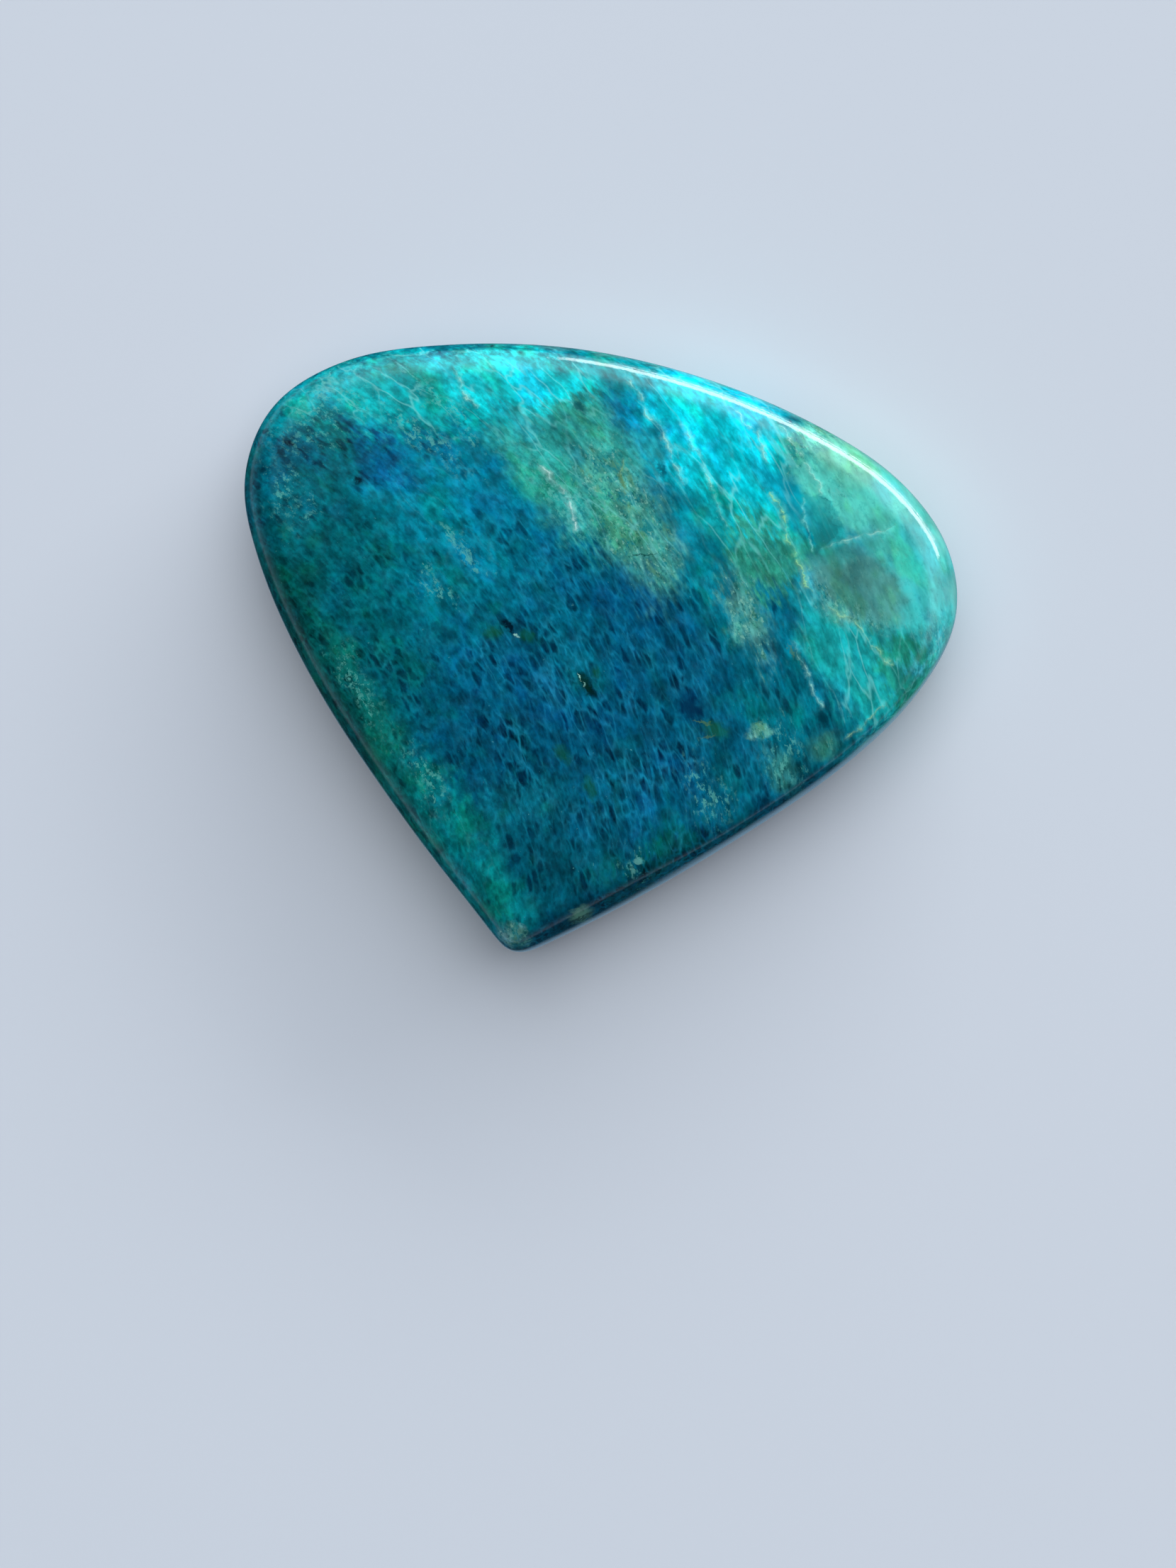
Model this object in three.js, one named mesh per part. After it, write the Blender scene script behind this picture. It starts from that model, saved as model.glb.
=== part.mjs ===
// A polished shattuckite cabochon: a rounded triangle of blue-green stone with a low dome and a flat back.
// One solid in millimetres, +Z up. The origin is the middle of the flat back, on which the stone rests.

import * as THREE from 'three';

// Driving dimensions
const LENGTH = 42.4; // along X
const WIDTH = 36.4; // along Y
const THICKNESS = 6.8; // from the flat back to the crest of the dome
const DOME_DROP = 1.0; // how far the dome falls from its crest to half the length or width away
const CREST = new THREE.Vector2(-1, 1.5); // where the dome is highest
const GIRDLE_HEIGHT = 4.0; // height of the widest line
const SHOULDER_WIDTH = 2.3; // how far the rounded edge reaches in from the outline, above the girdle
const SHOULDER_POWER = 2.1; // 2 is a round edge, and more is squarer
const BACK_BEVEL = 1.3; // how far the rounded edge reaches in below the girdle
const BACK_POWER = 2.6; // as for the shoulder

// The straight side to the right of the point is ground steeper, with a narrower edge.
// Places along the outline are fractions of its length, counted from the point.
const STEEP_MIDDLE = 0.125;
const STEEP_REACH = 0.125; // from the middle of the steep side to where it is half gone
const STEEP_FADE = 0.04; // half of the stretch over which it comes and goes
const STEEP_SHOULDER_WIDTH = 1.2;
const STEEP_SHOULDER_POWER = 3;

// Near the point that side leans in on its way up.
const LEAN = 0.45; // how far in
const LEAN_MIDDLE = 0.045;
const LEAN_REACH = 0.045; // from the middle of the leaning stretch to where it is half gone
const LEAN_FADE = 0.03; // half of the stretch over which it comes and goes

// The outline seen from above, counter-clockwise from the point at the bottom
const OUTLINE = [
  [-4.95, -18.6], [-3.1, -17.85], [1.7, -15.5], [8.35, -11.65], [14.4, -7.55],
  [18.7, -3.45], [21.1, 0.9], [20.7, 5.2], [17.9, 9.3], [13.2, 12.65],
  [6.6, 15.7], [-1.0, 17.75], [-8.6, 18.25], [-15.0, 17.5], [-19.5, 14.85],
  [-21.25, 10.3], [-20.1, 4.8], [-16.7, -2.4], [-12.0, -9.5], [-9.4, -13.0],
  [-6.35, -16.8],
];

// How finely the surface is laid out
const FINE_STEPS = 480; // points of the outline while it is smoothed
const OUTLINE_ROUNDS = 26; // rounds of smoothing for the outline
const NORMAL_ROUNDS = 400; // rounds of smoothing for its inward directions
const PATCH_CELLS = 24; // cells along each side of the square patch in the middle of the dome
const STATIONS = 4 * PATCH_CELLS; // points round every ring
const TURN_WEIGHT = 6; // millimetres of outline that one radian of turning counts for in placing them
const SHOULDER_RINGS = 8;
const BEVEL_RINGS = 4;
const DOME_RINGS = [0.88, 0.76, 0.64]; // rings between the shoulder and the patch, as shares of the way out
const BACK_SQUARE = 0.6; // size of the large flat square in the middle of the back, as a share of the back

// Each point of a closed ring becomes the weighted mean of itself and its two neighbours.
function smoothed(ring, rounds) {
  let now = ring;
  for (let round = 0; round < rounds; round += 1) {
    now = now.map((point, i) => {
      const before = now[(i + now.length - 1) % now.length];
      const after = now[(i + 1) % now.length];
      return point.clone().multiplyScalar(2).add(before).add(after).multiplyScalar(0.25);
    });
  }
  return now;
}

// The outline as many evenly spaced points, smoothed as polishing wears a stone
function fineOutline() {
  const corners = OUTLINE.map(([x, y]) => new THREE.Vector3(x, y, 0));
  const route = new THREE.CatmullRomCurve3(corners, true, 'centripetal');
  route.arcLengthDivisions = 4 * FINE_STEPS;
  const points = route.getSpacedPoints(FINE_STEPS).slice(0, FINE_STEPS);
  return smoothed(points.map((p) => new THREE.Vector2(p.x, p.y)), OUTLINE_ROUNDS);
}

// Inward directions of a counter-clockwise ring, smoothed so that they don't cross inside the point
function inwardDirections(ring) {
  const normals = ring.map((point, i) => {
    const before = ring[(i + ring.length - 1) % ring.length];
    const after = ring[(i + 1) % ring.length];
    return new THREE.Vector2(before.y - after.y, after.x - before.x).normalize();
  });
  return smoothed(normals, NORMAL_ROUNDS).map((n) => n.normalize());
}

// Stations of the outline, closer together where it turns, each with its place, its inward direction
// and how far along the outline it lies
function stations() {
  const ring = fineOutline();
  const inward = inwardDirections(ring);
  const measure = [0];
  const along = [0];
  for (let i = 0; i < ring.length; i += 1) {
    const before = ring[(i + ring.length - 1) % ring.length];
    const here = ring[i];
    const after = ring[(i + 1) % ring.length];
    const step = here.distanceTo(after);
    const turn = Math.abs(here.clone().sub(before).cross(after.clone().sub(here))) / step ** 2;
    measure.push(measure[i] + step + TURN_WEIGHT * turn);
    along.push(along[i] + step);
  }
  const found = [];
  for (let k = 0; k < STATIONS; k += 1) {
    const wanted = (measure[ring.length] * k) / STATIONS;
    const i = measure.findIndex((value) => value > wanted) - 1;
    const share = (wanted - measure[i]) / (measure[i + 1] - measure[i]);
    const next = (i + 1) % ring.length;
    found.push({
      place: ring[i].clone().lerp(ring[next], share),
      inward: inward[i].clone().lerp(inward[next], share).normalize(),
      along: THREE.MathUtils.lerp(along[i], along[i + 1], share) / along[ring.length],
    });
  }
  return fitted(found);
}

// The stations scaled to the stone's length and width, with their box centred on the origin
function fitted(found) {
  const box = new THREE.Box2().setFromPoints(found.map((s) => s.place));
  const size = box.getSize(new THREE.Vector2());
  const middle = box.getCenter(new THREE.Vector2());
  const scale = new THREE.Vector2(LENGTH / size.x, WIDTH / size.y);
  return found.map((s) => ({ ...s, place: s.place.clone().sub(middle).multiply(scale) }));
}

// 1 on a stretch of the outline, 0 away from it, with a smooth change between
function within(along, middle, reach, fade) {
  const away = Math.abs(THREE.MathUtils.euclideanModulo(along - middle + 0.5, 1) - 0.5);
  return 1 - THREE.MathUtils.smoothstep(away, reach - fade, reach + fade);
}

// The shape of the shoulder at one station
function shoulderAt(along) {
  const steep = within(along, STEEP_MIDDLE, STEEP_REACH, STEEP_FADE);
  return {
    width: THREE.MathUtils.lerp(SHOULDER_WIDTH, STEEP_SHOULDER_WIDTH, steep),
    power: THREE.MathUtils.lerp(SHOULDER_POWER, STEEP_SHOULDER_POWER, steep),
    lean: LEAN * within(along, LEAN_MIDDLE, LEAN_REACH, LEAN_FADE),
  };
}

function domeHeight(place) {
  const x = (place.x - CREST.x) / (LENGTH / 2);
  const y = (place.y - CREST.y) / (WIDTH / 2);
  return THICKNESS - DOME_DROP * (x * x + y * y);
}

function onDome(place) {
  return new THREE.Vector3(place.x, place.y, domeHeight(place));
}

// A point above the girdle, where share runs from 0 at the girdle to 1 on the dome
function shoulderPoint(station, share) {
  const edge = shoulderAt(station.along);
  const angle = (share * Math.PI) / 2;
  const across = 1 - Math.max(Math.cos(angle), 0) ** (2 / edge.power);
  const rise = Math.sin(angle) ** (2 / edge.power);
  const inset = edge.lean * rise + edge.width * across;
  const place = station.place.clone().addScaledVector(station.inward, inset);
  const height = THREE.MathUtils.lerp(GIRDLE_HEIGHT, domeHeight(place), rise);
  return new THREE.Vector3(place.x, place.y, height);
}

// A point below the girdle, where share runs from 0 on the flat back to 1 at the girdle
function bevelPoint(station, share) {
  const angle = (share * Math.PI) / 2;
  const inset = BACK_BEVEL * (1 - Math.sin(angle) ** (2 / BACK_POWER));
  const place = station.place.clone().addScaledVector(station.inward, inset);
  const drop = Math.max(Math.cos(angle), 0) ** (2 / BACK_POWER);
  return new THREE.Vector3(place.x, place.y, GIRDLE_HEIGHT * (1 - drop));
}

// Rows of points on the dome that fill a ring with a square grid, by mixing the ring's four sides
function patchRows(ring) {
  const n = PATCH_CELLS;
  const side = (k) => ring[k % ring.length];
  const rows = [];
  for (let j = 0; j <= n; j += 1) {
    const v = j / n;
    const row = [];
    for (let i = 0; i <= n; i += 1) {
      const u = i / n;
      const place = new THREE.Vector2();
      place.addScaledVector(side(i), 1 - v).addScaledVector(side(3 * n - i), v);
      place.addScaledVector(side(4 * n - j), 1 - u).addScaledVector(side(n + j), u);
      place.addScaledVector(side(0), -(1 - u) * (1 - v)).addScaledVector(side(n), -u * (1 - v));
      place.addScaledVector(side(2 * n), -u * v).addScaledVector(side(3 * n), -(1 - u) * v);
      row.push(onDome(place));
    }
    rows.push(row);
  }
  return rows;
}

// Where on its ring a grid point lies, or -1 inside the grid
function ringIndex(i, j) {
  const n = PATCH_CELLS;
  if (j === 0) return i;
  if (i === n) return n + j;
  if (j === n) return 3 * n - i;
  if (i === 0) return 4 * n - j;
  return -1;
}

// A mesh under construction: vertices are added ring by ring and joined by quads
class Shell {
  constructor() {
    this.vertices = [];
    this.triangles = [];
  }

  add(point) {
    this.vertices.push(point);
    return this.vertices.length - 1;
  }

  quad(a, b, c, d) {
    this.triangles.push(a, b, c, a, c, d);
  }

  // Joins two rings of vertex numbers, the second one above or inside the first
  band(outer, inner) {
    outer.forEach((corner, k) => {
      const next = (k + 1) % outer.length;
      this.quad(corner, outer[next], inner[next], inner[k]);
    });
  }

  // Fills a ring of vertex numbers with the square patch of the dome
  fillDome(ring) {
    const places = ring.map((k) => new THREE.Vector2(this.vertices[k].x, this.vertices[k].y));
    const rows = patchRows(places);
    const numbers = rows.map((row, j) => row.map((point, i) => {
      const at = ringIndex(i, j);
      return at < 0 ? this.add(point) : ring[at % ring.length];
    }));
    for (let j = 0; j < PATCH_CELLS; j += 1) {
      for (let i = 0; i < PATCH_CELLS; i += 1) {
        this.quad(numbers[j][i], numbers[j][i + 1], numbers[j + 1][i + 1], numbers[j + 1][i]);
      }
    }
  }

  // Fills the ring of the flat back: a large square, and a fan from each of its corners to a quarter of the ring
  fillBack(ring) {
    const quarter = ring.length / 4;
    const square = [0, 1, 2, 3].map((side) => {
      const rim = this.vertices[ring[side * quarter + quarter / 2]];
      return this.add(rim.clone().multiplyScalar(BACK_SQUARE));
    });
    square.forEach((corner, side) => {
      for (let k = side * quarter; k < (side + 1) * quarter; k += 1) {
        this.triangles.push(corner, ring[(k + 1) % ring.length], ring[k]);
      }
      const start = ring[((side + 1) * quarter) % ring.length];
      this.triangles.push(corner, square[(side + 1) % 4], start);
    });
    this.quad(...square.reverse());
  }

  geometry() {
    const made = new THREE.BufferGeometry();
    made.setAttribute('position', new THREE.Float32BufferAttribute(this.vertices.flatMap((p) => [...p]), 3));
    made.setIndex(this.triangles);
    made.computeVertexNormals();
    return made;
  }
}

function stoneGeometry() {
  const shell = new Shell();
  const outline = stations();
  const ringOf = (pointAt) => outline.map((station) => shell.add(pointAt(station)));

  const rings = [];
  for (let k = 0; k <= BEVEL_RINGS; k += 1) {
    rings.push(ringOf((station) => bevelPoint(station, k / BEVEL_RINGS)));
  }
  for (let k = 1; k <= SHOULDER_RINGS; k += 1) {
    rings.push(ringOf((station) => shoulderPoint(station, k / SHOULDER_RINGS)));
  }
  for (const share of DOME_RINGS) {
    rings.push(ringOf((station) => {
      const rim = shoulderPoint(station, 1);
      return onDome(CREST.clone().lerp(new THREE.Vector2(rim.x, rim.y), share));
    }));
  }
  rings.slice(1).forEach((ring, k) => shell.band(rings[k], ring));
  shell.fillDome(rings[rings.length - 1]);
  shell.fillBack(rings[0]);
  return shell.geometry();
}

function stone() {
  const polished = new THREE.MeshStandardMaterial({ color: 0x178394, roughness: 0.22, metalness: 0 });
  const mesh = new THREE.Mesh(stoneGeometry(), polished);
  mesh.name = 'shattuckite_stone';
  return mesh;
}

const part = new THREE.Group();
part.add(stone());

export default part;
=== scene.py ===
"""A polished shattuckite cabochon on a pale floor, seen from above as in the photograph."""

import math

import bpy
from mathutils import Matrix, Vector


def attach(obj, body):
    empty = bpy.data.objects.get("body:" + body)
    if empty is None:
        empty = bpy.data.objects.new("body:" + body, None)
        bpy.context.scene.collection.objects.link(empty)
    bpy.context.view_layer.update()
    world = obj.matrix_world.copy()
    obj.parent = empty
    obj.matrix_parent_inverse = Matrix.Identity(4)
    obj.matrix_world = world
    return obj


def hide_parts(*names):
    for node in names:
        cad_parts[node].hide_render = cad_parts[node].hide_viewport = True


MM = 0.001

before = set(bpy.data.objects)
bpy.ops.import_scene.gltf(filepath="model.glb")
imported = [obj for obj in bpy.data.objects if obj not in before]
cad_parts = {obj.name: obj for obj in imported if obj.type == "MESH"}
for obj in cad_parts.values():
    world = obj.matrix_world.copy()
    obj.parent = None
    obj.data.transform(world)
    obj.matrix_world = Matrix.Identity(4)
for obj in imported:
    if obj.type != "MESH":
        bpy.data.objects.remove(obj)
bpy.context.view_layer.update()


# Camera and light

CAMERA_PLACE = Vector((16.3, -25.0, 155.2)) * MM
CAMERA_AIM = Vector((-0.7, -8.1, 1.4)) * MM
LENS = 60.0  # millimetres, for a 36 mm frame

LIGHT_HEADING = 31  # degrees clockwise from +Y
LIGHT_DISTANCE = 2.0  # metres
WARM_WHITE = (1.0, 0.995, 0.98)
COOL_WHITE = (0.95, 0.97, 1.0)
# name, degrees above the floor, width and height in metres, brightness, colour
WINDOW = ("window", 15, (2.5, 0.42), 8.0, WARM_WHITE)
LOW_WINDOW = ("window below the bar", 4, (2.0, 0.07), 10.0, WARM_WHITE)
CEILING = ("ceiling", 89, (2.8, 2.8), 1.22, COOL_WHITE)

FLOOR_SIZE = 3.0  # metres
FLOOR_COLOUR = (210, 217, 226)

# The room's walls, from the floor's height at 0 to straight up at 1
WALL_COLOURS = [
    (0.0, (158, 174, 194)),
    (0.14, (110, 124, 144)),
    (0.40, (44, 54, 68)),
    (0.66, (0, 2, 5)),
    (1.0, (0, 1, 3)),
]
SKY_WAY = Vector((0.38, 0.66, 0.65))  # towards the middle of the soft light above the window
SKY_COLOUR = (1.55, 1.62, 1.74, 1.0)  # linear light
UNDERSIDE_COLOUR = (30, 52, 66)  # what the stone's lower edge mirrors in place of the floor
RIM_COLOUR = (120, 150, 172)  # the same, at its very rim


def linear(colour):
    """An sRGB colour of 0 to 255 as linear light, with a full alpha."""
    def channel(value):
        share = value / 255
        return share / 12.92 if share <= 0.04045 else ((share + 0.055) / 1.055) ** 2.4
    return (*(channel(value) for value in colour), 1.0)


def facing(place, aim, up):
    """A matrix that stands at place and looks at aim, with up towards the top of the view."""
    forward = (aim - place).normalized()
    right = forward.cross(up).normalized()
    turn = Matrix((right, right.cross(forward), -forward)).transposed()
    return Matrix.Translation(place) @ turn.to_4x4()


def place_camera():
    data = bpy.data.cameras.new("photo view")
    data.lens = LENS
    data.clip_start = 0.005
    camera = bpy.data.objects.new("photo view", data)
    bpy.context.scene.collection.objects.link(camera)
    camera.matrix_world = facing(CAMERA_PLACE, CAMERA_AIM, Vector((0, 1, 0)))
    bpy.context.scene.camera = camera


def soft_light(name, elevation, size, brightness, colour):
    """A rectangular light that looks at the stone, so many degrees above the floor."""
    data = bpy.data.lights.new(name, "AREA")
    data.shape = "RECTANGLE"
    data.size, data.size_y = size
    data.energy = brightness * math.pi * size[0] * size[1]
    data.color = colour
    light = bpy.data.objects.new(name, data)
    bpy.context.scene.collection.objects.link(light)
    across = math.radians(LIGHT_HEADING)
    rise = math.radians(elevation)
    way = Vector((math.sin(across) * math.cos(rise), math.cos(across) * math.cos(rise), math.sin(rise)))
    light.matrix_world = facing(way * LIGHT_DISTANCE, Vector((0, 0, 0)), Vector((0, 0, 1)))
    return light


def light_room():
    """The room's own light: grey walls that darken upwards, a glow above the window, and darkness below."""
    world = bpy.data.worlds.new("pale room")
    bpy.context.scene.world = world
    world.use_nodes = True
    wiring = Wiring(world.node_tree)
    world.node_tree.nodes.clear()
    way = wiring.add("ShaderNodeTexCoord", output="Generated")
    height = wiring.parts(way)[2]
    walls = wiring.ramp(height, WALL_COLOURS)
    toward = wiring.vector("DOT_PRODUCT", way, SKY_WAY)
    below_ceiling = wiring.between(height, 0.70, 0.93, 1.0, 0.0)
    glow = wiring.times(wiring.between(toward, 0.45, 1.0), below_ceiling)
    below_floor = wiring.between(height, -0.20, -0.02, 1.0, 0.0)
    straight_down = wiring.between(height, -0.97, -0.76, 1.0, 0.0)
    room = wiring.over(walls, SKY_COLOUR, glow, "ADD")
    room = wiring.over(room, linear(UNDERSIDE_COLOUR), below_floor)
    room = wiring.over(room, linear(RIM_COLOUR), straight_down)
    background = wiring.add("ShaderNodeBackground", {"Color": room, "Strength": 1.0})
    wiring.add("ShaderNodeOutputWorld", {"Surface": background}, None)


def light_scene():
    """The window lights show in the polish. The ceiling's light doesn't, so it lays no veil on the stone."""
    soft_light(*WINDOW)
    soft_light(*LOW_WINDOW)
    ceiling = soft_light(*CEILING)
    ceiling.visible_glossy = False
    light_room()


def lay_floor():
    """The pale floor. The stone doesn't mirror it, so that its lower edge mirrors the dark below the room."""
    bpy.ops.object.select_all(action="DESELECT")
    bpy.ops.mesh.primitive_plane_add(size=FLOOR_SIZE, location=(0, 0, 0))
    floor = bpy.context.active_object
    floor.name = "floor"
    material = bpy.data.materials.new("pale floor")
    material.use_nodes = True
    material.node_tree.nodes.clear()
    wiring = Wiring(material.node_tree)
    surface = wiring.add("ShaderNodeBsdfPrincipled", {"Base Color": linear(FLOOR_COLOUR), "Roughness": 0.9})
    wiring.add("ShaderNodeOutputMaterial", {"Surface": surface}, None)
    floor.data.materials.append(material)
    floor.visible_glossy = False


# Wiring of shader nodes


class Wiring:
    """Adds nodes to one tree. Each call gives back the new node's output, ready to feed another."""

    def __init__(self, tree):
        self.tree = tree

    def feed(self, socket, value):
        if isinstance(value, bpy.types.NodeSocket):
            self.tree.links.new(value, socket)
        elif hasattr(socket.default_value, "__len__") and not hasattr(value, "__len__"):
            socket.default_value = [value] * len(socket.default_value)
        else:
            socket.default_value = value

    def add(self, kind, inputs=None, output=0, **settings):
        node = self.tree.nodes.new(kind)
        for name, value in settings.items():
            setattr(node, name, value)
        for name, value in (inputs or {}).items():
            self.feed(node.inputs[name], value)
        return node.outputs[output] if output is not None else node

    def maths(self, operation, *values, clamp=False):
        return self.add("ShaderNodeMath", dict(enumerate(values)), operation=operation, use_clamp=clamp)

    def vector(self, operation, *values):
        output = "Value" if operation in ("LENGTH", "DOT_PRODUCT", "DISTANCE") else "Vector"
        inputs = dict(enumerate(values))
        if operation == "SCALE":
            inputs = {0: values[0], "Scale": values[1]}
        return self.add("ShaderNodeVectorMath", inputs, output, operation=operation)

    def parts(self, vector):
        node = self.add("ShaderNodeSeparateXYZ", {0: vector}, None)
        return tuple(node.outputs)

    def joined(self, x, y, z):
        return self.add("ShaderNodeCombineXYZ", {0: x, 1: y, 2: z})

    def grey(self, value):
        return self.add("ShaderNodeCombineColor", {"Red": value, "Green": value, "Blue": value})

    def times(self, *values):
        """The product of several masks."""
        product = values[0]
        for value in values[1:]:
            product = self.maths("MULTIPLY", product, value)
        return product

    def between(self, value, low, high, to_low=0.0, to_high=1.0):
        """value moved smoothly from low..high to to_low..to_high, and held there beyond them."""
        inputs = {0: value, 1: low, 2: high, 3: to_low, 4: to_high}
        return self.add("ShaderNodeMapRange", inputs, interpolation_type="SMOOTHSTEP", clamp=False)

    def over(self, under, colour, mask, blend="MIX"):
        """colour laid over under, where mask is 1."""
        inputs = {"Factor": mask, 6: under, 7: colour}
        return self.add("ShaderNodeMix", inputs, 2, data_type="RGBA", blend_type=blend)

    def ramp(self, value, stops):
        node = self.add("ShaderNodeValToRGB", {0: value}, None)
        elements = node.color_ramp.elements
        while len(elements) < len(stops):
            elements.new(0.5)
        for element, (place, colour) in zip(elements, stops):
            element.position = place
            element.color = linear(colour)
        return node.outputs[0]

    def noise(self, vector, scale, detail=2.0, roughness=0.5, output="Fac"):
        inputs = {"Vector": vector, "Scale": scale, "Detail": detail, "Roughness": roughness}
        return self.add("ShaderNodeTexNoise", inputs, output)

    def drift(self, vector, scale, detail, amount):
        """A wandering vector, up to about half of amount long each way."""
        value = self.noise(vector, scale, detail, 0.6, "Color")
        return self.vector("SCALE", self.vector("SUBTRACT", value, (0.5, 0.5, 0.5)), amount)

    def laid_out(self, given):
        """A group's Run in units of its Width and Length, moved by its Shift."""
        thin = self.maths("DIVIDE", 1.0, given["Width"])
        long = self.maths("DIVIDE", 1.0, given["Length"])
        shift = self.joined(given["Shift"], given["Shift"], given["Shift"])
        scale = self.joined(thin, long, thin)
        return self.add("ShaderNodeMapping", {"Vector": given["Run"], "Location": shift, "Scale": scale})

    def grouped(self, group, inputs, output=0):
        return self.add("ShaderNodeGroup", inputs, output, node_tree=group)


def effect(name, inputs, outputs):
    """A new node group with those sockets. Gives the group, its wiring, its inputs and its output node."""
    group = bpy.data.node_groups.new(name, "ShaderNodeTree")
    for label, kind in inputs.items():
        group.interface.new_socket(label, in_out="INPUT", socket_type=f"NodeSocket{kind}")
    for label, kind in outputs.items():
        group.interface.new_socket(label, in_out="OUTPUT", socket_type=f"NodeSocket{kind}")
    wiring = Wiring(group)
    given = wiring.add("NodeGroupInput", output=None).outputs
    result = wiring.add("NodeGroupOutput", output=None)
    return group, wiring, given, result


# Effects in the stone. All of them work in millimetres.

FIBRE_PIVOT = Vector((-41.5, -22.0, 0.0))  # the fibres run in wide arcs round this far point
FIBRE_RADIUS = 47.0  # of the arc through the middle of the stone
SPECK_EDGE = 0.11  # how far above its level a speck's noise is at its full strength

# Sockets that every texture along the fibres starts with
ALONG_FIBRES = {"Run": "Vector", "Width": "Float", "Length": "Float"}
# Sockets that place a patch or a seam
PLACING = {"Place": "Vector", "Centre": "Vector", "Along": "Vector", "Across": "Vector"}


def fibre_run():
    """Place in the stone measured across the fibres, along them, and in depth; and the way that they run."""
    group, wiring, given, result = effect(
        "fibre run", {"Place": "Vector"}, {"Run": "Vector", "Way": "Vector"})
    reach = wiring.vector("SUBTRACT", given["Place"], FIBRE_PIVOT)
    x, y, z = wiring.parts(reach)
    angle = wiring.maths("ARCTAN2", y, x)
    across = wiring.vector("LENGTH", wiring.joined(x, y, 0.0))
    along = wiring.maths("MULTIPLY", angle, FIBRE_RADIUS)
    wiring.feed(result.inputs["Run"], wiring.joined(across, along, z))
    down = wiring.maths("MULTIPLY", wiring.maths("COSINE", angle), -1.0)
    way = wiring.joined(wiring.maths("SINE", angle), down, 0.0)
    wiring.feed(result.inputs["Way"], way)
    return group


def streaks():
    """Soft light and dark streaks of about that width and length along the fibres, round 0.5."""
    group, wiring, given, result = effect(
        "streaks",
        {**ALONG_FIBRES, "Detail": "Float", "Contrast": "Float", "Shift": "Float"},
        {"Value": "Float"})
    value = wiring.noise(wiring.laid_out(given), 1.0, given["Detail"], 0.6)
    spread = wiring.maths("MULTIPLY", wiring.maths("SUBTRACT", value, 0.5), given["Contrast"])
    wiring.feed(result.inputs["Value"], wiring.maths("ADD", spread, 0.5, clamp=True))
    return group


def web():
    """A broken web of soft lines round long cells, and dark blobs in some of the cells."""
    group, wiring, given, result = effect(
        "web",
        {**ALONG_FIBRES, "Line": "Float", "Wander": "Float", "Shift": "Float"},
        {"Lines": "Float", "Blobs": "Float"})
    laid = wiring.laid_out(given)
    bent = wiring.vector("SUBTRACT", wiring.noise(laid, 1.3, 2.0, 0.6, "Color"), (0.5, 0.5, 0.5))
    place = wiring.vector("ADD", laid, wiring.vector("SCALE", bent, given["Wander"]))
    edge = wiring.add(
        "ShaderNodeTexVoronoi", {"Vector": place, "Scale": 1.0}, "Distance", feature="DISTANCE_TO_EDGE")
    tint = wiring.add("ShaderNodeTexVoronoi", {"Vector": place, "Scale": 1.0}, "Color", feature="F1")
    broken = wiring.between(wiring.noise(laid, 0.8, 2.0), 0.38, 0.60, 0.15, 1.0)
    line = wiring.between(edge, 0.0, given["Line"], 1.0, 0.0)
    wiring.feed(result.inputs["Lines"], wiring.times(line, line, broken))
    blob = wiring.between(edge, 0.03, 0.28)
    chosen = wiring.between(wiring.parts(tint)[0], 0.30, 0.85)
    wiring.feed(result.inputs["Blobs"], wiring.times(blob, chosen))
    return group


def specks():
    """Small ragged specks, where a fine noise rises above Level."""
    group, wiring, given, result = effect(
        "specks", {**ALONG_FIBRES, "Level": "Float", "Shift": "Float"}, {"Mask": "Float"})
    value = wiring.noise(wiring.laid_out(given), 1.0, 3.0, 0.75)
    full = wiring.maths("ADD", given["Level"], SPECK_EDGE)
    wiring.feed(result.inputs["Mask"], wiring.between(value, given["Level"], full))
    return group


def patch():
    """A soft oval patch round Centre. Along and Across are its axes, each divided by its half width."""
    group, wiring, given, result = effect("patch", {**PLACING, "Soft": "Float"}, {"Mask": "Float"})
    reach = wiring.vector("SUBTRACT", given["Place"], given["Centre"])
    along = wiring.vector("DOT_PRODUCT", reach, given["Along"])
    across = wiring.vector("DOT_PRODUCT", reach, given["Across"])
    squares = wiring.maths("MULTIPLY_ADD", along, along, wiring.maths("MULTIPLY", across, across))
    away = wiring.maths("SQRT", squares)
    start = wiring.maths("SUBTRACT", 1.0, given["Soft"])
    end = wiring.maths("ADD", 1.0, given["Soft"])
    wiring.feed(result.inputs["Mask"], wiring.between(away, start, end, 1.0, 0.0))
    return group


def seam():
    """A thin seam with soft flanks along a patch's length, and the light beside it, on the left of its way."""
    group, wiring, given, result = effect("seam", PLACING, {"Line": "Float", "Glow": "Float"})
    reach = wiring.vector("SUBTRACT", given["Place"], given["Centre"])
    along = wiring.vector("DOT_PRODUCT", reach, given["Along"])
    across = wiring.vector("DOT_PRODUCT", reach, given["Across"])
    held = wiring.between(wiring.maths("ABSOLUTE", along), 0.7, 1.1, 1.0, 0.0)
    away = wiring.maths("ABSOLUTE", across)
    core = wiring.between(away, 0.2, 1.4, 1.0, 0.0)
    flank = wiring.between(away, 0.0, 5.0, 0.42, 0.0)
    line = wiring.maths("MAXIMUM", core, flank)
    near = wiring.between(across, 0.0, 12.0, 1.0, 0.0)
    left = wiring.between(across, -0.5, 0.5)
    beside = wiring.maths("MULTIPLY", near, left)
    wiring.feed(result.inputs["Line"], wiring.times(line, held))
    wiring.feed(result.inputs["Glow"], wiring.times(beside, held))
    return group


# Colours of the stone, and where they lie. Places are millimetres from the middle of the back.

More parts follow.
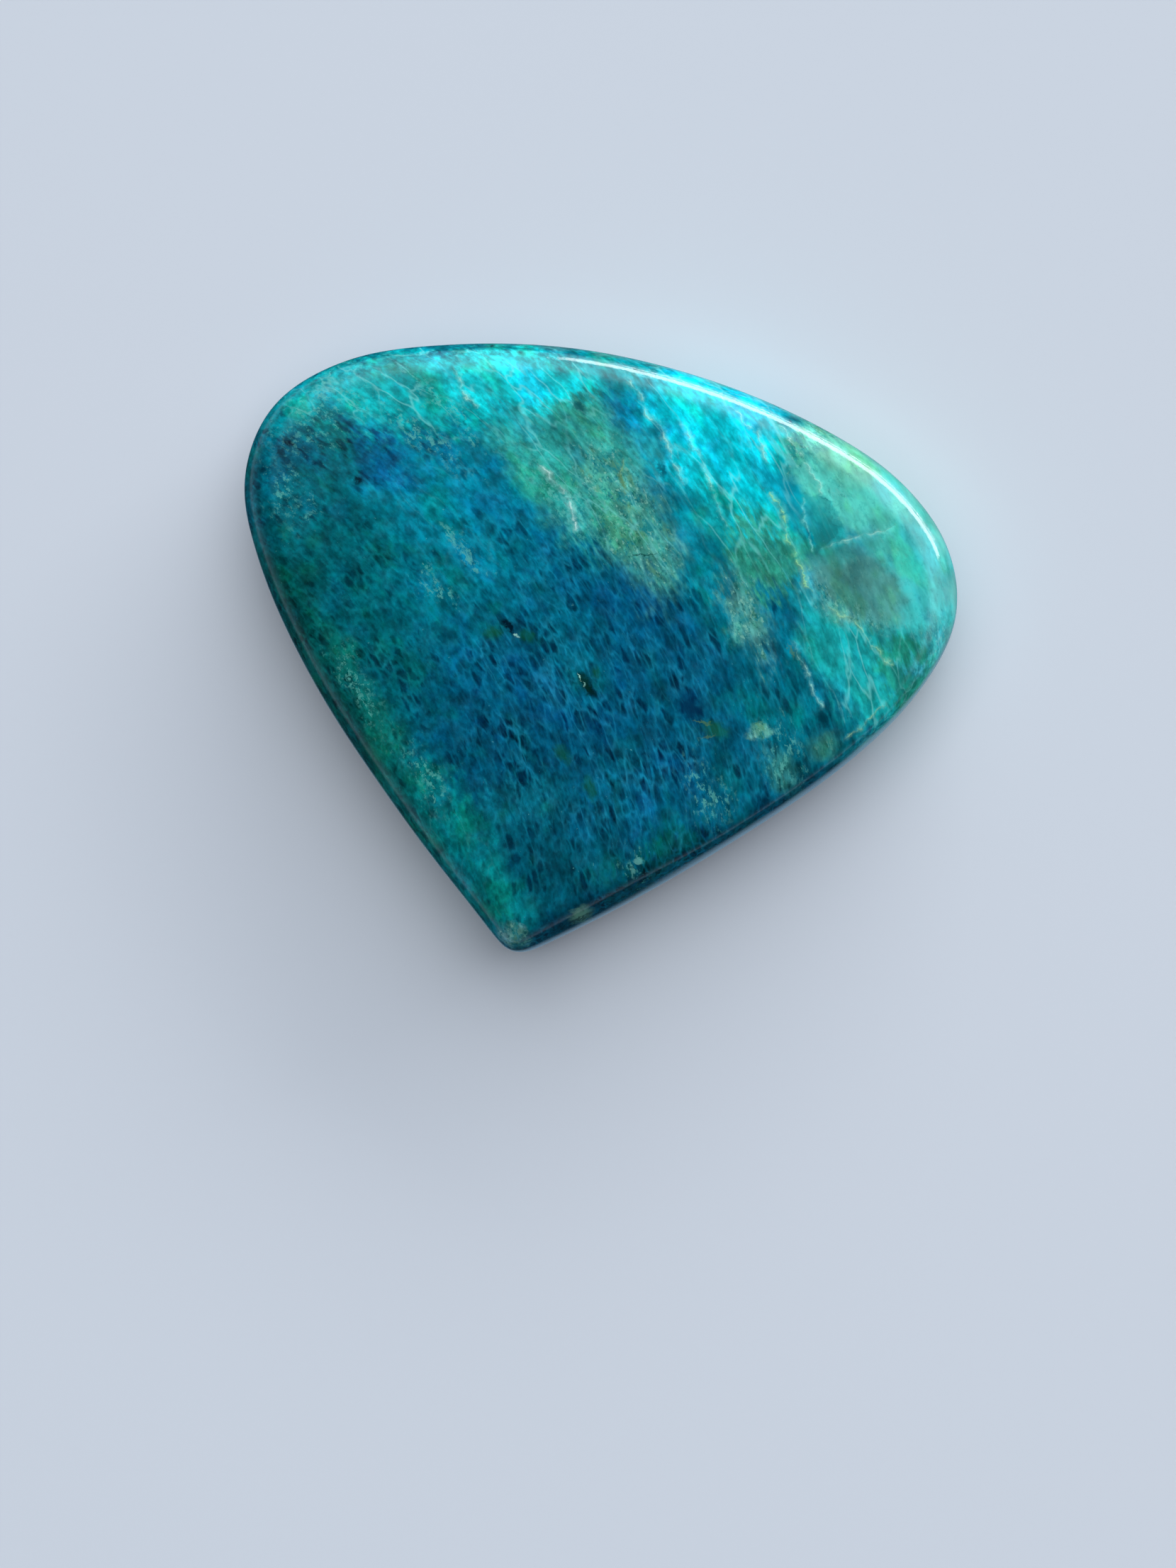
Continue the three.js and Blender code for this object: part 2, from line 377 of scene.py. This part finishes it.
AZURE = (1, 75, 107)
DEEP_BLUE = (1, 84, 112)
NAVY = (1, 84, 104)
SEA_BLUE = (1, 104, 120)
SKY_BLUE = (2, 128, 150)
TEAL = (1, 98, 106)
DARK_TEAL = (1, 78, 96)
GREEN_TEAL = (1, 86, 80)
CYAN = (4, 212, 226)
# partly the stone's own turquoise, partly a painted glow of light through the top shoulder
BRIGHT_TURQUOISE_AND_GLOW = (6, 216, 222)
TURQUOISE = (2, 170, 172)
MINT = (80, 190, 174)
GREY_GREEN = (46, 166, 156)
OLIVE = (46, 146, 118)
SMOKE = (84, 144, 138)
PALE = (158, 222, 206)
MOSS = (16, 88, 40)
OCHRE = (84, 124, 76)
PIT = (0, 18, 34)

# name, colour, centre, half length and half width, turn of the length, softness, strength
PATCHES = [
    ("left shade", TEAL, (-12.5, 3.0), (9.0, 5.5), -60, 0.5, 0.9),
    ("middle teal", (1, 118, 136), (-7.0, 1.0), (6.0, 3.6), -60, 0.5, 0.8),
    ("upper blue", SKY_BLUE, (-8.2, 9.0), (6.6, 4.2), -42, 0.45, 0.9),
    ("bright blue", (2, 120, 152), (-9.6, 10.4), (2.6, 1.5), -45, 0.5, 0.7),
    ("lower upper blue", (2, 116, 142), (-4.4, 7.6), (3.0, 1.6), -52, 0.5, 0.7),
    ("core", AZURE, (1.6, -3.4), (9.0, 6.4), -60, 0.4, 0.9),
    ("core top", (2, 106, 124), (-1.2, -0.3), (3.2, 1.8), -60, 0.5, 0.6),
    ("core left", AZURE, (-5.5, -6.2), (6.6, 3.8), -66, 0.5, 0.8),
    ("core right", DEEP_BLUE, (7.6, -4.6), (4.4, 3.2), -60, 0.4, 0.7),
    ("bottom", DARK_TEAL, (-2.5, -13.0), (6.0, 4.6), -70, 0.5, 0.85),
    ("light cloud", (10, 116, 134), (-4.6, -9.8), (2.8, 1.0), 20, 0.5, 0.5),
    ("second light cloud", (6, 108, 140), (2.2, -8.6), (2.4, 0.7), 15, 0.5, 0.5),
    ("left green", GREEN_TEAL, (-14.4, -4.4), (13.0, 2.7), -60, 0.4, 0.95),
    ("left light green", (14, 118, 106), (-12.6, -4.6), (5.6, 0.9), -62, 0.5, 0.6),
    ("bottom left green", (4, 130, 130), (-7.7, -12.0), (5.6, 2.0), -57, 0.5, 0.9),
    ("navy corner", NAVY, (-17.8, 11.4), (2.4, 1.3), 40, 0.5, 0.85),
    ("second navy", (1, 84, 122), (-12.6, 11.2), (2.2, 0.9), -35, 0.5, 0.8),
    ("top turquoise", TURQUOISE, (-8.6, 15.2), (10.5, 2.4), 2, 0.45, 0.95),
    # partly the stone's own turquoise, partly a painted glow of light through the top shoulder
    ("top bright with painted glow", BRIGHT_TURQUOISE_AND_GLOW, (-4.6, 15.2), (5.0, 1.5), -8, 0.5, 0.9),
    ("right cyan", CYAN, (8.2, 10.6), (6.6, 4.0), -52, 0.35, 0.95),
    ("right cyan deep", (8, 150, 156), (11.4, 8.4), (2.6, 1.3), -58, 0.4, 0.75),
    ("left cyan deep", (10, 146, 148), (7.0, 7.0), (2.4, 1.0), -62, 0.45, 0.85),
    ("blue between", (2, 134, 164), (3.2, 11.8), (2.2, 1.1), -60, 0.5, 0.8),
    ("blue column", (3, 126, 144), (5.9, 5.2), (4.6, 1.3), -64, 0.45, 0.85),
    ("first grey band", GREY_GREEN, (-2.3, 9.6), (4.4, 1.8), -54, 0.5, 0.9),
    ("second grey band", (72, 160, 142), (2.0, 7.8), (5.4, 1.9), -66, 0.5, 0.9),
    ("where the bands join", (46, 154, 144), (0.6, 12.0), (3.6, 1.4), -25, 0.5, 0.8),
    ("olive", OLIVE, (10.0, 4.3), (2.8, 2.1), -62, 0.35, 0.85),
    ("olive tail", (80, 152, 140), (9.3, 0.4), (2.6, 1.2), -70, 0.4, 0.8),
    ("right turquoise", (64, 190, 186), (18.6, 2.6), (5.2, 3.4), -62, 0.4, 0.9),
    ("lower mottle", (24, 168, 166), (15.4, -1.6), (4.8, 2.6), -60, 0.4, 0.85),
    ("lower green", (34, 146, 112), (18.0, -2.6), (2.4, 1.0), -50, 0.4, 0.7),
    ("right blue strip", (2, 112, 136), (11.5, -0.8), (3.0, 1.0), -66, 0.4, 0.8),
    ("lower right blue", (1, 108, 124), (11.4, -4.4), (4.2, 2.2), -50, 0.4, 0.7),
    ("lower edge", GREEN_TEAL, (4.2, -13.0), (3.4, 1.0), 31, 0.5, 0.7),
]

# Clear quartz in the stone: smooth patches with crisp edges, in the same columns
CLEAR_PATCHES = [
    ("mint", MINT, (15.9, 8.6), (5.4, 2.9), -40, 0.12, 0.92),
    ("yellow mint", (112, 200, 166), (14.6, 10.4), (2.4, 1.2), -42, 0.4, 0.6),
    ("smoke", SMOKE, (15.4, 2.6), (3.0, 2.2), -30, 0.25, 0.75),
    ("smoke core", (62, 128, 122), (14.4, 3.5), (1.3, 0.8), -10, 0.35, 0.6),
    ("leaf", (34, 150, 148), (13.3, 6.4), (1.9, 0.9), -62, 0.12, 0.7),
    ("under the fracture", (50, 158, 152), (15.4, 4.9), (2.2, 0.8), 14, 0.4, 0.55),
    ("teal by the fracture", (24, 158, 160), (14.4, 5.6), (1.2, 0.3), -30, 0.6, 0.6),
    ("milky point", (108, 166, 168), (-4.5, -17.2), (0.9, 0.5), -20, 0.6, 0.8),
    ("grey blotch", (92, 160, 150), (9.8, -5.7), (0.7, 0.5), 0, 0.4, 0.8),
    ("blue mint", (50, 196, 204), (18.9, 4.9), (2.0, 1.0), -56, 0.4, 0.6),
    ("dull cloud", (56, 128, 108), (11.2, -8.2), (1.3, 0.7), -58, 0.6, 0.55),
    ("second dull cloud", (64, 138, 112), (13.5, -6.6), (0.9, 0.6), 20, 0.6, 0.55),
]

# Regions: centre, half length and half width, turn of the length, softness
CLEAR_REGION = ((16.6, 5.6), (6.4, 4.4), -48, 0.3)  # smooth quartz, with little texture
CORE_REGION = ((1.6, -3.6), (12.0, 8.0), -60, 0.5)  # where the light lines are at their full strength

# Where the rim's painted light and the steep side's painted shade fade in, in millimetres that way
RIM_WAY = (0.8, 0.6)  # towards the quartz end and the top
RIM_REACH = (4.0, 11.0)
RIM_HEIGHTS = (5.5, 4.3)
STEEP_SIDE_WAY = (0.466, -0.885, 0.0)  # outward from the straight side to the right of the point
STEEP_SIDE_REACH = (12.7, 13.6)
SPOT_HEIGHTS = (3.0, 4.4)  # from no spots on the side walls to full spots on the face

# Where pale wisps gather: centre, half length and half width, turn of the length
WISP_PLACES = [
    ((-16.2, 13.8), (2.6, 1.1), 35),
    ((-18.2, 8.8), (1.6, 0.8), -70),
    ((-10.4, 12.4), (3.4, 0.5), -42),
    ((-8.8, 13.9), (3.6, 0.4), -42),
    ((-13.4, -3.2), (2.2, 0.7), -60),
    ((-9.6, -8.0), (1.6, 0.6), -62),
    ((11.2, -7.0), (1.4, 0.8), -60),
    ((6.8, -9.2), (1.5, 0.7), -65),
    ((-9.0, 2.8), (0.9, 0.6), -60),
    ((-7.2, 5.2), (1.2, 0.5), -50),
    ((-1.6, 8.2), (2.6, 0.9), -58),
    ((2.6, -13.4), (0.9, 0.5), -60),
    ((14.6, 8.8), (0.7, 0.9), -50),
]

# Seams and fractures: colour, half width, route
SEAMS = [
    (PALE, 0.06, [(2.1, 15.5), (3.1, 13.7), (4.2, 12.0), (4.8, 10.3), (5.6, 8.7)]),
    (PALE, 0.05, [(5.4, 12.4), (6.4, 10.3), (7.2, 8.2), (7.9, 6.1)]),
    (PALE, 0.05, [(8.1, 13.6), (9.5, 11.9), (10.5, 9.8)]),
    ((150, 214, 150), 0.07, [(10.3, 8.3), (11.1, 7.0), (11.4, 5.8), (11.9, 4.3), (12.7, 2.4)]),
    (PALE, 0.05, [(10.9, 12.3), (12.5, 10.1), (13.5, 8.0)]),
    ((26, 116, 118), 0.06, [(13.3, 8.3), (13.9, 7.2), (14.3, 6.2), (14.1, 5.6), (13.2, 4.8)]),
    ((120, 206, 196), 0.04, [(12.5, 7.9), (12.3, 6.8), (12.7, 5.8), (12.9, 4.6)]),
    ((150, 206, 190), 0.05, [(17.5, 6.1), (15.8, 5.6), (13.4, 4.9)]),
    ((150, 206, 160), 0.05, [(13.6, 1.5), (15.0, 0.7), (16.2, -0.8), (17.5, -2.1)]),
    (PALE, 0.05, [(11.7, -0.5), (12.6, -2.8), (13.4, -4.6)]),
    ((200, 232, 224), 0.07, [(-2.9, 10.1), (-1.4, 8.4), (-0.9, 6.7), (-0.6, 6.0)]),
    (PALE, 0.05, [(-8.3, 16.4), (-7.6, 14.9), (-6.8, 13.6)]),
    ((112, 158, 112), 0.05, [(1.7, 10.4), (2.1, 7.9), (2.5, 6.4)]),
    ((150, 190, 140), 0.04, [(14.5, -6.3), (17.0, -4.1)]),
]

# Single spots: colour, centre, half length and half width, turn of the length, strength
SPOTS = [
    (PIT, (-4.7, 0.6), (0.50, 0.20), -62, 0.95),
    (PIT, (-13.8, 9.6), (0.30, 0.24), -30, 0.9),
    ((4, 44, 34), (-0.3, -2.8), (0.80, 0.30), -56, 0.85),
    (PIT, (0.0, -3.2), (0.40, 0.18), -56, 0.8),
    ((0, 40, 74), (5.8, -4.3), (0.85, 0.62), -60, 0.8),
    ((2, 84, 88), (-0.7, 13.6), (0.55, 0.20), -42, 0.85),
    (PIT, (-18.2, 12.2), (0.32, 0.22), -40, 0.7),
    (PIT, (-18.6, 11.5), (0.34, 0.20), -60, 0.7),
    ((4, 60, 56), (3.1, 4.6), (0.70, 0.05), 4, 0.8),
    ((0, 44, 60), (13.4, -5.0), (0.55, 0.30), -66, 0.7),
    ((0, 40, 62), (4.2, 9.7), (0.40, 0.18), -66, 0.7),
    (MOSS, (-5.7, 0.2), (0.50, 0.34), 0, 0.6),
    (MOSS, (-3.7, 0.0), (0.44, 0.36), -40, 0.5),
    (MOSS, (-1.6, -6.9), (0.60, 0.36), -52, 0.55),
    (MOSS, (0.0, -8.9), (0.70, 0.34), -72, 0.55),
    (MOSS, (0.3, -2.2), (0.30, 0.22), -50, 0.5),
    ((24, 104, 60), (7.2, -5.6), (0.70, 0.40), -20, 0.5),
    (OCHRE, (6.5, -5.2), (0.50, 0.07), -16, 0.6),
    (OCHRE, (6.8, -6.0), (0.40, 0.06), 10, 0.5),
    (OCHRE, (11.6, -1.1), (0.40, 0.09), -66, 0.6),
    (OCHRE, (1.9, 9.0), (0.60, 0.09), -64, 0.6),
    (PALE, (-4.3, 0.0), (0.14, 0.10), -40, 0.8),
    (PALE, (-0.60, -2.45), (0.22, 0.035), -72, 0.9),
    (PALE, (-0.36, -2.9), (0.16, 0.03), -66, 0.7),
    ((110, 186, 176), (2.7, -13.1), (0.24, 0.12), 10, 0.6),
    ((110, 186, 176), (2.4, -13.7), (0.08, 0.28), 8, 0.5),
    ((96, 150, 128), (-0.7, -16.1), (0.60, 0.34), 28, 0.75),
    ((2, 34, 44), (0.9, -15.1), (1.50, 0.07), 27, 0.75),
    ((2, 34, 44), (-0.8, -16.35), (0.60, 0.07), 24, 0.7),
]


# Webs of the dark stone: width and length of a cell, width of a line, wander, shift and strength
CELL_WEBS = [
    (0.44, 1.20, 0.24, 0.55, 0.0, 1.0),
    (0.28, 0.90, 0.26, 0.50, 7.0, 0.35),
]

# Tones that textures add, or lay over the stone
CELL_LINE = (10, 76, 92)
FIBRE_LINE = (16, 84, 102)
GREY_GAP = (6, 126, 134)
STAIN = (92, 146, 100)
PALE_SPECK = (140, 206, 184)
VEIN = (128, 226, 222)
WISP = (96, 190, 178)
LONE_SPECK = (110, 204, 200)
# painted light: the glow through the thin edge of the quartz end and the top
PAINTED_RIM_LIGHT = (128, 188, 182)

# Factors that textures multiply the stone's colour by, as linear light
BLUER = (0.95, 0.95, 1.16, 1.0)
GREENER = (1.0, 1.06, 0.78, 1.0)
DARK_CELL = (0.08, 0.30, 0.40, 1.0)
DARK_SPECK = (0.10, 0.50, 0.54, 1.0)
DARK_WISP = (0.15, 0.40, 0.44, 1.0)
SEAM_GLOW = (1.3, 1.3, 1.3, 1.0)
# painted shade that darkens the steep side wall
PAINTED_STEEP_SHADE = (0.20, 0.46, 0.56, 1.0)


def oval(centre, half, turn):
    """The sockets that place a patch or a seam: centre, half length and half width, and turn in radians."""
    cosine = math.cos(turn)
    sine = math.sin(turn)
    return {
        "Centre": (*centre, 0.0),
        "Along": (cosine / half[0], sine / half[0], 0.0),
        "Across": (-sine / half[1], cosine / half[1], 0.0)}


class StoneColour:
    """Lays the stone's colours over each other, from broad patches to single spots."""

    def __init__(self, wiring):
        self.wiring = wiring
        self.oval = patch()
        self.streak = streaks()
        self.speck = specks()
        self.net = web()
        self.line = seam()
        self.place = wiring.vector("SCALE", wiring.add("ShaderNodeTexCoord", output="Object"), 1 / MM)
        laid = wiring.grouped(fibre_run(), {"Place": self.place}, None)
        self.run = laid.outputs["Run"]
        way = laid.outputs["Way"]

        # Edges of patches are torn along the fibres, edges of quartz only wander, and spots are crumbled
        dash = self.streaked(width=0.28, length=1.1, detail=4.0, contrast=2.4, shift=3.0)
        tear = wiring.maths("MULTIPLY", wiring.maths("SUBTRACT", dash, 0.5), 3.0)
        fringed = wiring.vector("ADD", self.place, wiring.vector("SCALE", way, tear))
        self.torn = wiring.vector("ADD", fringed, wiring.drift(self.place, 0.35, 5.0, 4.6))
        self.wandering = wiring.vector("ADD", self.place, wiring.drift(self.place, 0.6, 4.0, 2.4))
        self.crumbled = wiring.vector("ADD", self.place, wiring.drift(self.place, 3.2, 3.0, 0.7))
        self.colour = linear(SEA_BLUE)

    def along_fibres(self, width, length, shift):
        """The sockets that every texture along the fibres has."""
        return {"Run": self.run, "Width": width, "Length": length, "Shift": shift}

    def streaked(self, width, length, detail, contrast, shift):
        inputs = {**self.along_fibres(width, length, shift), "Detail": detail, "Contrast": contrast}
        return self.wiring.grouped(self.streak, inputs)

    def specked(self, width, length, level, shift):
        inputs = {**self.along_fibres(width, length, shift), "Level": level}
        return self.wiring.grouped(self.speck, inputs)

    def webbed(self, width, length, line, wander, shift):
        inputs = {**self.along_fibres(width, length, shift), "Line": line, "Wander": wander}
        return self.wiring.grouped(self.net, inputs, None).outputs

    def patched(self, place, centre, half, turn, soft):
        inputs = {"Place": place, **oval(centre, half, math.radians(turn)), "Soft": soft}
        return self.wiring.grouped(self.oval, inputs)

    def lay(self, colour, mask, blend="MIX"):
        self.colour = self.wiring.over(self.colour, colour, mask, blend)

    def brighten(self, value, low, high, mask=1.0):
        """Multiplies the colour by low to high, as value goes from 0 to 1."""
        factor = self.wiring.between(value, 0.0, 1.0, low, high)
        self.lay(self.wiring.grey(factor), mask, "MULTIPLY")

    def lay_patches(self, patches, place):
        for _, shade, centre, half, turn, soft, strength in patches:
            mask = self.patched(place, centre, half, turn, soft)
            self.lay(linear(shade), self.wiring.maths("MULTIPLY", mask, strength))

    def broad_patches(self):
        self.lay_patches(PATCHES, self.torn)

    def clear_patches(self):
        self.lay_patches(CLEAR_PATCHES, self.wandering)

    def mottle(self):
        """Clouds that lean to green or to blue, and soft streaks along the fibres."""
        wiring = self.wiring
        cloud = self.streaked(width=2.0, length=3.4, detail=3.0, contrast=2.6, shift=21.0)
        self.lay(BLUER, wiring.between(cloud, 0.55, 0.9, 0.0, 0.8), "MULTIPLY")
        self.lay(GREENER, wiring.between(cloud, 0.45, 0.1, 0.0, 0.8), "MULTIPLY")
        broad = self.streaked(width=1.1, length=1.9, detail=3.0, contrast=2.6, shift=33.0)
        self.brighten(broad, 0.70, 1.36)
        fine = self.streaked(width=0.34, length=0.70, detail=3.0, contrast=2.8, shift=11.0)
        self.brighten(fine, 0.72, 1.32, self.solid)

    def measure(self):
        """How strongly textures show: the web in dark stone, veins in light stone, and grain in grey stone."""
        wiring = self.wiring
        shade = wiring.add("ShaderNodeSeparateColor", {"Color": self.colour}, None).outputs
        centre, half, turn, soft = CLEAR_REGION
        clear = self.patched(self.wandering, centre, half, turn, soft)
        self.solid = wiring.between(clear, 0.0, 1.0, 1.0, 0.15)
        self.dark = wiring.times(wiring.between(shade["Green"], 0.08, 0.36, 1.0, 0.2), self.solid)
        self.light = wiring.times(wiring.between(shade["Green"], 0.16, 0.40), self.solid)
        self.grey = wiring.times(wiring.between(shade["Red"], 0.01, 0.06), self.solid)

    def cells(self):
        """The web of light lines and the dark cells, and long thin lines along the fibres."""
        wiring = self.wiring
        gather = wiring.between(wiring.noise(self.place, 0.30, 3.0), 0.36, 0.60, 0.35, 1.0)
        core = wiring.between(self.patched(self.torn, *CORE_REGION), 0.0, 1.0, 0.30, 1.0)
        lines = wiring.times(core, self.dark, gather)
        for width, length, line, wander, shift, strength in CELL_WEBS:
            cells = self.webbed(width, length, line, wander, shift)
            self.lay(DARK_CELL, wiring.times(cells["Blobs"], gather, self.dark, strength), "MULTIPLY")
            self.lay(linear(CELL_LINE), wiring.times(cells["Lines"], lines, strength), "ADD")
        fibres = self.webbed(width=0.80, length=3.6, line=0.10, wander=0.8, shift=57.0)
        self.lay(linear(FIBRE_LINE), wiring.times(fibres["Lines"], lines, 0.8), "ADD")

    def grain(self):
        """Torn gaps, stains, and dark and light specks in the grey stone, and veins in the light stone."""
        wiring = self.wiring
        gaps = self.specked(width=0.80, length=1.30, level=0.50, shift=55.0)
        self.lay(linear(GREY_GAP), wiring.times(gaps, self.grey, 0.75))
        stain = self.specked(width=0.60, length=1.30, level=0.55, shift=65.0)
        self.lay(linear(STAIN), wiring.times(stain, self.grey, 0.45))
        dark = self.specked(width=0.27, length=0.36, level=0.53, shift=5.0)
        share = wiring.between(self.grey, 0.0, 1.0, 0.22, 0.75)
        self.lay(DARK_SPECK, wiring.times(dark, share), "MULTIPLY")
        pale = self.specked(width=0.24, length=0.38, level=0.55, shift=15.0)
        self.lay(linear(PALE_SPECK), wiring.times(pale, self.grey, 0.55))
        veins = self.webbed(width=1.3, length=4.6, line=0.07, wander=0.9, shift=63.0)
        self.lay(linear(VEIN), wiring.times(veins["Lines"], self.light, 0.42))

    def wisps(self):
        """Broken pale wisps, gathered in places."""
        wiring = self.wiring
        near = 0.0
        for centre, half, turn in WISP_PLACES:
            near = wiring.maths("MAXIMUM", self.patched(self.torn, centre, half, turn, 0.9), near)
        thin = self.specked(width=0.34, length=0.60, level=0.50, shift=25.0)
        self.lay(linear(WISP), wiring.times(near, thin, 0.62))
        dark = self.specked(width=0.30, length=0.46, level=0.54, shift=35.0)
        self.lay(DARK_WISP, wiring.times(near, dark, 0.6), "MULTIPLY")
        lone = self.specked(width=0.24, length=0.34, level=0.68, shift=45.0)
        self.lay(linear(LONE_SPECK), wiring.times(lone, 0.5))

    def seams(self):
        """Pale seams, brighter and fainter by turns, with lighter stone on one side."""
        wiring = self.wiring
        bent = wiring.vector("ADD", self.place, wiring.drift(self.place, 0.9, 5.0, 1.3))
        faint = wiring.between(wiring.noise(self.place, 1.3, 3.0), 0.38, 0.62, 0.2, 1.0)
        glow = 0.0
        drawn = {}
        for shade, width, route in SEAMS:
            for start, end in zip(route, route[1:]):
                middle = (Vector(start) + Vector(end)) / 2
                way = Vector(end) - Vector(start)
                inputs = {"Place": bent, **oval(middle, (way.length / 2, width), math.atan2(way.y, way.x))}
                found = wiring.grouped(self.line, inputs, None).outputs
                drawn[shade] = wiring.maths("MAXIMUM", found["Line"], drawn.get(shade, 0.0))
                glow = wiring.maths("MAXIMUM", found["Glow"], glow)
        for shade, mask in drawn.items():
            self.lay(linear(shade), wiring.times(mask, faint, 0.72))
        self.lay(SEAM_GLOW, wiring.times(glow, 0.9), "MULTIPLY")

    def spots(self):
        """Single spots of the face, which fade out down the side walls."""
        wiring = self.wiring
        face = wiring.between(wiring.parts(self.crumbled)[2], *SPOT_HEIGHTS)
        found = {}
        for shade, centre, half, turn, strength in SPOTS:
            mask = wiring.maths("MULTIPLY", self.patched(self.crumbled, centre, half, turn, 0.6), strength)
            found[shade] = wiring.maths("MAXIMUM", mask, found.get(shade, 0.0))
        for shade, mask in found.items():
            self.lay(linear(shade), wiring.maths("MULTIPLY", mask, face))

    def painted_rim_glow(self):
        """Painted light: the glow of light that comes through the thin edge of the quartz end and the top,
        laid into the colour.
        """
        wiring = self.wiring
        x, y, z = wiring.parts(self.wandering)
        outward = wiring.maths(
            "ADD", wiring.maths("MULTIPLY", x, RIM_WAY[0]), wiring.maths("MULTIPLY", y, RIM_WAY[1]))
        side = wiring.between(outward, *RIM_REACH)
        low = wiring.between(z, *RIM_HEIGHTS)
        self.lay(linear(PAINTED_RIM_LIGHT), wiring.times(side, low, 0.55))

    def paint_steep_side_shade(self):
        """Painted shade: the steep side to the right of the point is darker than the face."""
        outward = self.wiring.vector("DOT_PRODUCT", self.wandering, STEEP_SIDE_WAY)
        edge = self.wiring.between(outward, *STEEP_SIDE_REACH, 0.0, 0.8)
        self.lay(PAINTED_STEEP_SHADE, edge, "MULTIPLY")


# The polish

POLISH_WAVES = 0.012  # millimetres
POLISH_ROUGHNESS = (0.06, 0.16)
STONE_IOR = 1.62


def stone_material():
    material = bpy.data.materials.new("polished shattuckite")
    material.use_nodes = True
    material.node_tree.nodes.clear()
    wiring = Wiring(material.node_tree)

    stone = StoneColour(wiring)
    stone.broad_patches()
    stone.clear_patches()
    stone.measure()
    stone.mottle()
    stone.cells()
    stone.grain()
    stone.wisps()
    stone.seams()
    stone.painted_rim_glow()
    stone.paint_steep_side_shade()
    stone.spots()

    wear = wiring.noise(stone.place, 1.1, 4.0, 0.55)
    polish = wiring.add("ShaderNodeBump", {"Height": wear, "Strength": 1.0, "Distance": POLISH_WAVES * MM})
    surface = wiring.add("ShaderNodeBsdfPrincipled", {
        "Base Color": stone.colour,
        "Roughness": wiring.between(wear, 0.35, 0.75, *POLISH_ROUGHNESS),
        "IOR": STONE_IOR,
        "Normal": polish,
    })
    wiring.add("ShaderNodeOutputMaterial", {"Surface": surface}, None)
    return material


# The stone

STONE_NODE = "shattuckite_stone"
SMOOTHING = 2  # subdivisions
BACK_LOOP = 0.5  # millimetres from the edge of the flat back to the loop inside it
BACK_HEIGHT = 0.01  # millimetres, above every face of the flat back
SAME_POINT = 0.002  # millimetres between points that are one
QUAD_ANGLE = math.radians(60)  # the most that two triangles of one quad may differ


def flat_back(stone):
    """The faces of the flat back become one face, with a narrow ring round it to keep its edge in place."""
    bpy.ops.mesh.select_all(action="DESELECT")
    bpy.ops.object.mode_set(mode="OBJECT")
    for face in stone.data.polygons:
        face.select = face.normal.z < -0.999 and face.center.z < BACK_HEIGHT * MM
    bpy.ops.object.mode_set(mode="EDIT")
    bpy.ops.mesh.dissolve_faces()
    bpy.ops.mesh.inset(thickness=BACK_LOOP * MM)


def shape_stone():
    """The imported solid's mesh, merged and smoothed into one fine skin."""
    stone = bpy.data.objects.new("polished_stone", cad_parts[STONE_NODE].data.copy())
    bpy.context.scene.collection.objects.link(stone)
    bpy.ops.object.select_all(action="DESELECT")
    stone.select_set(True)
    bpy.context.view_layer.objects.active = stone
    stone.data.materials.clear()

    bpy.ops.object.mode_set(mode="EDIT")
    bpy.ops.mesh.select_all(action="SELECT")
    bpy.ops.mesh.remove_doubles(threshold=SAME_POINT * MM)
    flat_back(stone)
    bpy.ops.mesh.select_all(action="SELECT")
    bpy.ops.mesh.tris_convert_to_quads(face_threshold=QUAD_ANGLE, shape_threshold=QUAD_ANGLE)
    bpy.ops.object.mode_set(mode="OBJECT")

    fine = stone.modifiers.new("fine skin", "SUBSURF")
    fine.levels = fine.render_levels = SMOOTHING
    bpy.ops.object.modifier_apply(modifier=fine.name)
    bpy.ops.object.shade_smooth()
    return stone


def main():
    place_camera()
    bpy.context.scene.view_settings.view_transform = "Standard"
    light_scene()
    lay_floor()
    stone = shape_stone()
    stone.data.materials.append(stone_material())
    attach(stone, "root")
    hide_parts(STONE_NODE)


main()
